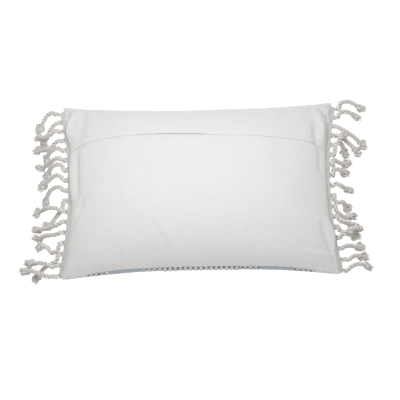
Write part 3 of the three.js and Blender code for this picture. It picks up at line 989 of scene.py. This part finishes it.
def closureEdge(s):
    bow = (closure["middle"] - closure["ends"]) * np.abs(s) ** closure["power"]
    return closure["middle"] - bow - closure["skew"] * s * (1 - s * s)


def clothPiece(name, points, s, t, faceUp, thickness, finish):
    rows, columns = points.shape[:2]
    faces = quadsOf(np.arange(rows * columns).reshape(rows, columns))
    soft = SoftMesh()
    soft.addPoints(points, np.stack([s * halfFlatLength, t * halfFlatDepth], -1))
    soft.faces = (faces if faceUp else faces[:, ::-1]).tolist()
    piece = soft.build(name, finish)
    thicken(piece, thickness)
    return piece


def thicken(piece, thickness):
    wall = piece.modifiers.new("thickness", "SOLIDIFY")
    wall.thickness = thickness
    wall.offset = -1
    bpy.context.view_layer.objects.active = piece
    bpy.ops.object.modifier_apply(modifier=wall.name)


# How finely each cover panel is divided.
panelGrid = {
    "columns": 277,
    "lowerRows": 122,
    "lowerEdgeFrom": 0.93,  # the rows stand closer from here to the flap's edge
    "lowerEdgeRows": 14,
    "tuckedRows": 17,
    "hemRows": 19,
    "hemShare": 1.25,  # the close rows of the flap, in hem widths
    "flapRows": 42,
    "frontColumns": 231,
    "frontRows": 157,
}
panelColumns = np.linspace(-1, 1, panelGrid["columns"])


def makeLowerPanel(finish):
    nearEdge = panelGrid["lowerEdgeFrom"]
    rows = np.concatenate([np.linspace(0, nearEdge, panelGrid["lowerRows"]),
                           np.linspace(nearEdge, 1, panelGrid["lowerEdgeRows"])[1:]])
    edge = closureEdge(panelColumns)
    tucked = np.linspace(0, 1, panelGrid["tuckedRows"])[1:, None]
    t = np.vstack([-1 + rows[:, None] * (edge + 1), edge + tucked * (closure["tucked"] - edge)])
    s = np.broadcast_to(panelColumns, t.shape)
    points, facing = creased(upperCloth, s, t, True)
    under = ease(closure["sinkFrom"], closure["sinkTo"], (t - edge) * halfFlatDepth)
    sink = closure["lowerSink"] * under * ease(0, closure["sinkRun"], halfFlatLength * (1 - np.abs(s)))
    points = points - facing * sink[..., None]
    return clothPiece("back_lower", points, s, t, True, cover["backThickness"], finish)


def flapLift(s, fromEdge):  # how far the flap stands off the cover's face
    x = s * halfFlatLength
    hemEnd = closure["hemWidth"] + closure["hemStep"]
    lift = closure["flapLift"] * (1 - ease(closure["liftFrom"], closure["liftTo"], fromEdge))
    lift = lift + closure["hemLift"] * (1 - ease(closure["hemWidth"], hemEnd, fromEdge))
    gape = ease(closure["gapeFrom"], closure["gapeFrom"] + closure["gapeEase"], x)
    gape = gape * (1 - ease(closure["gapeTo"] - closure["gapeEnd"], closure["gapeTo"], x))
    lift = lift + closure["gapeLift"] * gape * (1 - ease(0, closure["gapeRun"], fromEdge))
    ripple = softNoise(x, fromEdge * 0.3, closure["rippleSize"], closure["rippleSeed"])
    lift = lift + closure["rippleLift"] * ripple * (1 - ease(0, closure["rippleRun"], fromEdge))
    stitchRow = np.exp(-(((fromEdge - closure["hemWidth"]) / closure["stitchDipRun"]) ** 2))
    lift = lift - closure["stitchDip"] * stitchRow
    return lift * ease(0, closure["sideRun"], halfFlatLength * (1 - np.abs(s)))


def flapPoints(s, t):
    points, facing = creased(upperCloth, s, t, True)
    return points + facing * flapLift(s, (t - closureEdge(s)) * halfFlatDepth)[..., None]


def makeFlap(finish):
    hemRows = np.linspace(0, 1, panelGrid["hemRows"])[:, None] * closure["hemWidth"] / halfFlatDepth
    hem = closureEdge(panelColumns) + hemRows * panelGrid["hemShare"]
    rest = hem[-1] + np.linspace(0, 1, panelGrid["flapRows"])[1:, None] * (1 - hem[-1])
    t = np.vstack([hem, rest])
    s = np.broadcast_to(panelColumns, t.shape)
    return clothPiece("back_flap", flapPoints(s, t), s, t, True, cover["backThickness"], finish)


def frontPoints(s, t):
    points, facing = creased(lowerCloth, s, t, False)
    points[..., 2] = np.maximum(points[..., 2], cover["floorRest"])
    return points, facing


def makeFront(finish):
    s, t = evenGrid(1, panelGrid["frontColumns"], panelGrid["frontRows"])
    points = frontPoints(s, t)[0]
    return clothPiece("front_woven", points, s, t, False, cover["frontThickness"], finish)


# Plain cotton: a fine plain weave, with thicker slub threads both ways. Each kind has its
# light, its shade and the pitch of its threads.
plainCotton = {
    "back": [(0.79, 0.79, 0.778, 1), (0.735, 0.732, 0.716, 1), 0.00062],
    "thread": [(0.84, 0.84, 0.82, 1), (0.76, 0.755, 0.73, 1), 0.0003],
    "loop": [(0.86, 0.86, 0.84, 1), (0.70, 0.69, 0.66, 1), 0.0006],
    "ticking": [(0.86, 0.86, 0.86, 1), (0.80, 0.80, 0.79, 1), 0.0005],
    "roughness": 0.88,
    "sheen": 0.25,
    "weftStretch": (22, 900, 1),
    "warpStretch": (760, 18, 1),
    "broadWeftStretch": (12, 260, 1),
    "broadWarpStretch": (230, 9, 1),
    "mottleScale": 14,
    "shadeShare": 0.30,  # how far the cloth goes towards its shade, and what changes that
    "slubShade": 0.20,
    "broadShade": 0.22,
    "mottleShade": 0.35,
    "weaveShade": 0.05,
    "slubHeight": 0.9,
    "bumpDepth": 0.00016,
    "bumpStrength": 0.7,
}


def plainWeave(x, y, pitch):
    return (x * (math.pi / pitch)).wave() * (y * (math.pi / pitch)).wave()


def plainCottonFinish(name, light, shade, pitch):
    cotton = plainCotton
    finish = Finish(name, cotton["roughness"], cotton["sheen"])
    cloth = finish.clothMap()
    weave = plainWeave(*finish.alongAndAcross(cloth), pitch)
    weft = finish.streaks(cloth, cotton["weftStretch"])
    warp = finish.streaks(cloth, cotton["warpStretch"], place=(3, 7, 0))
    broadWeft = finish.streaks(cloth, cotton["broadWeftStretch"], place=(5, 1, 0))
    broadWarp = finish.streaks(cloth, cotton["broadWarpStretch"], place=(1, 5, 0))
    slubs = weft.between(0.58, 0.78) + warp.between(0.58, 0.78)
    broad = broadWeft.between(0.45, 0.75) + broadWarp.between(0.45, 0.75)
    mottle = finish.cloud(cloth, cotton["mottleScale"], 3)
    share = cotton["shadeShare"] + slubs * cotton["slubShade"] - broad * cotton["broadShade"]
    share = share + (mottle - 0.5) * cotton["mottleShade"] + weave * cotton["weaveShade"]
    color = finish.blend(share, light, shade)
    height = weave * 0.5 + slubs * cotton["slubHeight"] + broad * 0.5
    return finish.dress(color, height, cotton["bumpDepth"], cotton["bumpStrength"])


# The woven front: bands across the pillow, mirrored about its middle, in shares of half its
# length. Raised loops fill the middle band.
wovenFront = {
    "loopBand": 0.27,
    "dotBand": 0.41,
    "smoothBand": 0.65,
    "farDotBand": 0.81,
    "natural": (0.80, 0.79, 0.76, 1),
    "paleBlue": (0.44, 0.50, 0.56, 1),
    "darkBlue": (0.055, 0.075, 0.11, 1),
    "dash": (0.22, 0.27, 0.33, 1),
    "dotPitch": 0.0108,
    "dotRowPitch": 0.0092,
    "columnPitch": 0.0104,
    "threadPitch": 0.0013,
    "slubStretch": (30, 600, 1),
    "slubShare": 0.25,
    "slubHeight": 0.5,
    "weaveHeight": 0.6,
    "dotHeight": 0.8,
    "dotEdge": (0.0, 0.3),
    "dashEdge": (-0.25, 0.1),
    "roughness": 0.93,
    "sheen": 0.2,
    "bumpDepth": 0.0004,
    "bumpStrength": 0.9,
}


def wovenFrontFinish(name):
    woven = wovenFront
    finish = Finish(name, woven["roughness"], woven["sheen"])
    cloth = finish.clothMap()
    x, y = finish.alongAndAcross(cloth)
    place = abs(x) * (1 / halfFlatLength)
    weave = plainWeave(x, y, woven["threadPitch"])
    slub = finish.streaks(cloth, woven["slubStretch"])
    inLoops = 1 - place.above(woven["loopBand"])
    inDots = place.above(woven["loopBand"]) - place.above(woven["dotBand"])
    inSmooth = place.above(woven["dotBand"]) - place.above(woven["smoothBand"])
    inFarDots = place.above(woven["smoothBand"]) - place.above(woven["farDotBand"])
    dotWave = (x * (2 * math.pi / woven["dotPitch"])).wave()
    columnWave = (x * (2 * math.pi / woven["columnPitch"]) - math.pi / 2).wave()
    dotRowWave = (y * (2 * math.pi / woven["dotRowPitch"])).wave()
    dots = (inDots + inFarDots) * (dotRowWave * dotWave).between(*woven["dotEdge"])
    dashes = inLoops * columnWave.between(*woven["dashEdge"])
    color = finish.blend(dashes, woven["natural"], woven["dash"])
    color = finish.blend(inSmooth, color, woven["paleBlue"])
    color = finish.blend(dots, color, woven["darkBlue"])
    color = finish.blend(slub.between(0.4, 0.8) * woven["slubShare"], color, woven["natural"])
    height = weave * woven["weaveHeight"] + slub * woven["slubHeight"] + dots * woven["dotHeight"]
    return finish.dress(color, height, woven["bumpDepth"], woven["bumpStrength"])


whiteCotton = plainCottonFinish("plain_white_cotton", *plainCotton["back"])
lowerPanel = makeLowerPanel(whiteCotton)
flap = makeFlap(whiteCotton)
front = makeFront(wovenFrontFinish("banded_hand_weave"))
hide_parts("back_lower_panel")
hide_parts("back_upper_panel")
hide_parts("front_panel")
print("stage: cover panels sewn")


def makeStitches(finish):  # one small bead of thread, copied along the flap's hem
    bpy.ops.object.select_all(action="DESELECT")
    bpy.ops.mesh.primitive_uv_sphere_add(segments=6, ring_count=5, radius=1)
    bead = bpy.context.object
    corners = np.array([vertex.co for vertex in bead.data.vertices])
    faces = [tuple(face.vertices) for face in bead.data.polygons]
    bpy.data.objects.remove(bead)
    fine = np.linspace(-closure["stitchReach"], closure["stitchReach"], closure["hemSamples"])
    t = closureEdge(fine) + closure["hemWidth"] / halfFlatDepth
    beside = 0.004  # rows on both sides of the hem line give the way it faces
    points = flapPoints(np.stack([fine] * 3), np.stack([t - beside, t, t + beside]))
    run = points[1]
    line, places = evenRun(run, closure["stitchPitch"])
    facing = facingOf(points, True)[1]
    up = unit(np.stack([np.interp(places, runLengths(run), facing[:, k]) for k in range(3)], 1))
    along = unit(np.gradient(line, axis=0))
    aside = np.cross(up, along)
    lengthwise = along * closure["stitchLength"] / 2
    sideways = aside * closure["stitchRadius"]
    upwards = up * closure["stitchRadius"] * closure["stitchFlatness"]
    soft = SoftMesh()
    for k in range(1, len(line) - 1):
        points = (line[k] + up[k] * closure["stitchRise"] + corners[:, 2:3] * lengthwise[k]
                  + corners[:, 1:2] * sideways[k] + corners[:, 0:1] * upwards[k])
        start = soft.addPoints(points, corners[:, :2] * closure["stitchMap"])
        soft.faces.extend([tuple(start + corner for corner in face) for face in faces])
    return soft.build("hem_stitches", finish)


makeStitches(plainCottonFinish("white_thread", *plainCotton["thread"]))
print("stage: hem stitched")

# Raised loops in the front's middle band, standing off the ground weave.
loops = {
    "height": 0.0013,
    "radius": 0.00120,
    "thinning": 0.45,  # towards its two roots
    "length": 0.0052,
    "rowPitch": 0.0042,
    "sizes": (0.85, 1.12),
    "skew": 0.0006,
    "rootSink": 0.0005,
    "sides": 5,
    "rings": 6,
    "girth": 0.006,
    "margin": 0.005,  # from the long seams
    "seed": 21,
}


def makeLoops(finish):
    dice = np.random.default_rng(loops["seed"])
    reach = wovenFront["loopBand"] * halfFlatLength - loops["length"] / 2
    half = int(reach / wovenFront["columnPitch"])
    rowReach = halfFlatDepth - loops["margin"]
    x, y = np.meshgrid(np.arange(-half, half + 1) * wovenFront["columnPitch"],
                       np.arange(-rowReach, rowReach, loops["rowPitch"]))
    middles, facing = frontPoints(x / halfFlatLength, y / halfFlatDepth)
    along = unit(np.gradient(middles, axis=1))
    turns = np.linspace(0, math.pi, loops["rings"])
    places = turns * loops["length"] / 2
    soft = SoftMesh()
    for middle, up, lie in zip(middles.reshape(-1, 3), facing.reshape(-1, 3), along.reshape(-1, 3)):
        size = dice.uniform(*loops["sizes"])
        skew = np.cross(up, lie) * dice.uniform(-loops["skew"], loops["skew"])
        arc = (middle - up * loops["rootSink"] + lie * np.cos(turns)[:, None] * loops["length"] / 2
               + (up * loops["height"] * size + skew) * np.sin(turns)[:, None])
        radii = loops["radius"] * (1 - loops["thinning"] * (1 - np.sin(turns))) * size
        rings = tube(arc, radii, loops["sides"], np.broadcast_to(up, arc.shape))
        rings[..., 2] = np.maximum(rings[..., 2], 0.0)
        soft.addTube(rings, places, loops["girth"])
    return soft.build("front_loops", finish)


makeLoops(plainCottonFinish("loop_cotton", *plainCotton["loop"]))
print("stage: front loops woven")

# The header tape on each short side: ribs run out from the seam, where the cords are bound.
header = {
    "inside": 0.0020,  # how far the tape reaches back under the seam
    "thickness": 0.0011,
    "endShare": 0.972,  # how far it runs towards the corners
    "endRounding": 0.003,
    "endRun": 0.006,
    "innerLift": 0.0022,  # its inner edge lies against the stuffed side
    "outerDrop": 0.0012,
    "scallop": 0.0013,  # its outer edge draws back this far between two cords
    "cordLift": 0.0005,
    "ribPitch": 0.0021,
    # how far the grooves between ribs get the tape's painted hollow shade
    "ribHeight": 0.00042,
    "ribGroovePaintedShade": 0.75,
    "rowHeight": 0.00022,
    "rowTurns": 3.5,
    "waveHeight": 0.0006,
    "waveSize": 0.02,
    "waveSeed": 61,
    "rowsPerRib": 6,
    "columns": 14,
}


def cordPull(y):  # 1 where a cord draws the tape out, 0 midway between two cords
    run = cover["depth"] / 2 - fringe["endMargin"]
    place = (run - y) / (2 * run) * (fringe["count"] - 1)
    return 0.5 + 0.5 * np.cos(2 * math.pi * place)


def tapeHeight(y, across, rib, side):  # ribs, weft rows and waves, above the seam
    weft = np.sin(2 * math.pi * across * header["rowTurns"] + np.floor(y / header["ribPitch"]) * math.pi)
    wave = softNoise(y, across * 0.01, header["waveSize"], header["waveSeed"] + side)
    height = rib * header["ribHeight"] + weft * header["rowHeight"] * ease(0, 0.2, across)
    height = height + wave * header["waveHeight"] * across + header["cordLift"] * cordPull(y) * across
    lean = header["innerLift"] * (1 - across) ** 2 - header["outerDrop"] * across
    return height + header["thickness"] / 2 + lean


def makeHeader(name, side, finish):
    count = round(cover["depth"] / header["ribPitch"]) * header["rowsPerRib"]
    bpy.ops.object.select_all(action="DESELECT")
    bpy.ops.mesh.primitive_grid_add(x_subdivisions=header["columns"], y_subdivisions=count, size=2)
    tape = bpy.context.object
    tape.name = name.replace("fringe_header", "header_tape")
    tape.data.name = tape.name
    points = np.empty(len(tape.data.vertices) * 3)
    tape.data.vertices.foreach_get("co", points)
    across = (points[0::3] + 1) / 2
    v = points[1::3] * header["endShare"]
    y = v * cover["depth"] / 2
    rib = np.abs(np.sin(math.pi * y / header["ribPitch"]))
    rounding = 1 - ease(0, header["endRun"], header["endShare"] * cover["depth"] / 2 - np.abs(y))
    out = -header["inside"] + across * (fringe["headerReach"] + header["inside"])
    out = out - (header["scallop"] * (1 - cordPull(y)) + header["endRounding"] * rounding) * across
    z = seamLevel(1, v) + tapeHeight(y, across, rib, side)
    tape.data.vertices.foreach_set("co", np.stack([side * (halfLength(v) + out), y, z], 1).ravel())
    # the rib grooves are marked as inward, so the tape's finish paints shade into them
    markCloth(tape.data, np.stack([out, y], 1), 1 - header["ribGroovePaintedShade"] * (1 - rib))
    bpy.ops.object.mode_set(mode="EDIT")
    bpy.ops.mesh.select_all(action="SELECT")
    if side < 0:
        bpy.ops.mesh.flip_normals()
    bpy.ops.object.mode_set(mode="OBJECT")
    bpy.ops.object.shade_smooth()
    thicken(tape, header["thickness"])
    tape.data.materials.append(finish)
    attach(tape, "root")
    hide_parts(name)


makeHeader("fringe_header_left", -1, tapeFinish)
makeHeader("fringe_header_right", 1, tapeFinish)
print("stage: header tapes sewn on")

# The insert inside: a plain case in two panels, and its polyester fibre.
insert = {
    "caseBelow": 0.0042,  # the case, in from the cover's outer face
    "caseThickness": 0.0008,
    "caseShare": 0.99,
    "fillBelow": 0.0058,
    "fillShare": 0.970225,
    "columns": 139,
    "rows": 93,
    "edgeThinning": 0.75,  # layers lie closer together towards the seam
    "edgePower": 12,
    "pullPower": 6,
    "rimFrom": 0.985,  # from here out, the fibre's two faces close on each other
    "lump": 0.0007,
    "lumpStart": 0.2,  # of the way in from the seam
    "lumpSize": 0.028,
    "fineLumpSize": 0.011,
    "fineLump": 0.6,
    "upperSeed": 91,
    "lowerSeed": 95,
    "wispStretch": (900, 260, 500),
    "clumpScale": 60,
    "fibreRoughness": 1.0,
    "fibreSheen": 0.4,
    "fibreDepth": 0.0012,
    "fibreStrength": 0.8,
    "fibreShade": (0.78, 0.78, 0.78, 1),
    "fibreLight": (0.90, 0.90, 0.89, 1),
}


def insetGrid(cloth, depth, upper, share):  # the cloth's face moved in, and in from its seam
    s, t = evenGrid(share, insert["columns"], insert["rows"])
    points = clothAt(cloth, s, t)
    edgeShare = np.maximum(np.abs(s), np.abs(t)) / share
    height = depth * (1 - insert["edgeThinning"] * edgeShare ** insert["edgePower"])
    points = points - facingOf(points, upper) * height[..., None]
    pull = 1 - depth / (cover["depth"] / 2) * edgeShare ** insert["pullPower"]
    points[..., :2] *= pull[..., None]
    return points, s, t


def makeCase(name, cloth, upper, finish):
    points, s, t = insetGrid(cloth, insert["caseBelow"], upper, insert["caseShare"])
    return clothPiece(name, points, s, t, upper, insert["caseThickness"], finish)


def makeFill(finish):
    upper, s, t = insetGrid(upperCloth, insert["fillBelow"], True, insert["fillShare"])
    lower, s, t = insetGrid(lowerCloth, insert["fillBelow"], False, insert["fillShare"])
    edge = np.maximum(np.abs(s), np.abs(t)) / np.abs(s).max()
    for grid, way, seed in ((upper, -1, insert["upperSeed"]), (lower, 1, insert["lowerSeed"])):
        x, y = grid[..., 0], grid[..., 1]
        lumps = softNoise(x, y, insert["lumpSize"], seed)
        lumps = lumps + insert["fineLump"] * softNoise(x, y, insert["fineLumpSize"], seed + 1)
        grid[..., 2] += way * np.abs(lumps) * insert["lump"] * ease(0, insert["lumpStart"], 1 - edge)
    middle = (upper + lower) / 2
    rim = ease(insert["rimFrom"], 1.0, edge)[..., None]
    upper = upper * (1 - rim) + middle * rim
    lower = lower * (1 - rim) + middle * rim
    soft = SoftMesh()
    flat = np.stack([s * halfFlatLength, t * halfFlatDepth], -1)
    soft.addPoints(upper, flat)
    soft.addPoints(lower[1:-1, 1:-1], flat[1:-1, 1:-1])
    soft.faces = pillowFaces(*pillowNumbers(*upper.shape[:2]))
    return soft.build("polyester_fill", finish)


def fibreFinish(name):
    finish = Finish(name, insert["fibreRoughness"], insert["fibreSheen"])
    wisps = finish.streaks(finish.objectPlace(), insert["wispStretch"], 4)
    clumps = finish.cloud(finish.objectPlace(), insert["clumpScale"], 3)
    color = finish.blend(wisps.between(0.35, 0.7), insert["fibreShade"], insert["fibreLight"])
    return finish.dress(color, wisps + clumps * 2, insert["fibreDepth"], insert["fibreStrength"])


ticking = plainCottonFinish("insert_ticking_cotton", *plainCotton["ticking"])
caseBack = makeCase("insert_back", upperCloth, True, ticking)
caseFront = makeCase("insert_front", lowerCloth, False, ticking)
filling = makeFill(fibreFinish("polyester_fibre"))
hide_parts("insert_case_back")
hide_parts("insert_case_front")
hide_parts("fibre_fill")
print("stage: insert in place")

# A few loose threads, where the cords have begun to fray.
strayThreads = {
    "radius": 0.00028,
    "sides": 5,
    "samples": 6,
    "length": 0.012,
    "girth": 0.002,
    "routes": [
        [(-0.293, 0.012, 0.028), (-0.287, 0.010, 0.029), (-0.280, 0.0125, 0.031), (-0.276, 0.0118, 0.032)],
        [(0.304, -0.006, 0.018), (0.310, -0.001, 0.016), (0.317, 0.0005, 0.012)],
        [(-0.345, -0.146, 0.006), (-0.341, -0.153, 0.004), (-0.337, -0.160, 0.002)],
    ],
}


def makeStrayThreads():
    soft = SoftMesh()
    for route in strayThreads["routes"]:
        line = smoothRun(route, strayThreads["samples"])
        places = np.linspace(0, strayThreads["length"], len(line))
        radii = np.full(len(line), strayThreads["radius"])
        soft.addTube(tube(line, radii, strayThreads["sides"]), places, strayThreads["girth"])
    return soft.build("stray_threads", tapeFinish)


makeStrayThreads()
print("stage: stray threads laid")

# White studio: a pale floor that hardly takes a shadow, and soft light from overhead.
studio = {
    "floorSize": 12,
    "floorDrop": 0.0002,  # under the cords, so that the two don't share a face
    "floorShades": [(0.30, 0.30, 0.30, 1), (0.32, 0.32, 0.32, 1)],
    "floorRoughness": 0.9,
    "floorGlow": 1.0,
    "ambient": 0.40,
    "keyPlace": (-0.05, 0.14, 1.12),
    "keyAim": (0, 0, 0.05),
    "keySize": 0.45,
    "keyPower": 7.65,
}


def makeFloor():
    bpy.ops.object.select_all(action="DESELECT")
    bpy.ops.mesh.primitive_plane_add(size=studio["floorSize"], location=(0, 0, -studio["floorDrop"]))
    floor = bpy.context.object
    floor.name = "floor"
    finish = Finish("white_floor", studio["floorRoughness"])
    tint = finish.cloud(finish.objectPlace(), 3)
    finish.dress(finish.blend(tint, *studio["floorShades"]))
    finish.surface.inputs["Emission Color"].default_value = (1, 1, 1, 1)
    finish.surface.inputs["Emission Strength"].default_value = studio["floorGlow"]
    floor.data.materials.append(finish.material)


def lightStudio():
    world = bpy.data.worlds.new("studio")
    bpy.context.scene.world = world
    world.use_nodes = True
    sky = world.node_tree.nodes["Background"]
    sky.inputs["Color"].default_value = (1, 1, 1, 1)
    sky.inputs["Strength"].default_value = studio["ambient"]
    key = bpy.data.lights.new("keyLight", "AREA")
    key.energy = studio["keyPower"]
    key.size = studio["keySize"]
    lamp = bpy.data.objects.new("keyLight", key)
    bpy.context.scene.collection.objects.link(lamp)
    lamp.location = studio["keyPlace"]
    aim = Vector(studio["keyAim"]) - lamp.location
    lamp.rotation_euler = aim.to_track_quat("-Z", "Y").to_euler()
    bpy.context.scene.view_settings.view_transform = "Standard"


makeFloor()
lightStudio()
print("stage: studio lit")
